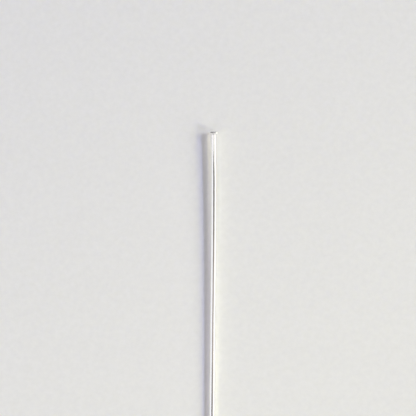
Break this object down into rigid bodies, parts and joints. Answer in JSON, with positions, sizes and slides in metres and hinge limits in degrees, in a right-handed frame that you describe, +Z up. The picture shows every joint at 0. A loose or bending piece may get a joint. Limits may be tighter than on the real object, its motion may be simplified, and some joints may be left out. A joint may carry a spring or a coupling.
{
  "type": "flat head pin",
  "caption": "Polished silver-coloured wire pin with a small flat disc head, a fillet under it and a square-cut tail, for stringing beads.",
  "frame": {"origin": "centre of the head's underside, on the wire's axis, where a bead comes to rest", "axes": "-Y from the head along the wire to the tail, tipped 0.403 degrees down as the pin lies on its head's rim and its tail; +Y out of the head's face; +Z up; the surface it lies on is at Z -0.7493 mm"},
  "size_m": [0.0014, 0.05, 0.0014],
  "materials": {
    "silver": "polished"
  },
  "bodies": {
    "root": {"head_pin": "silver"}
  },
  "joints": []
}
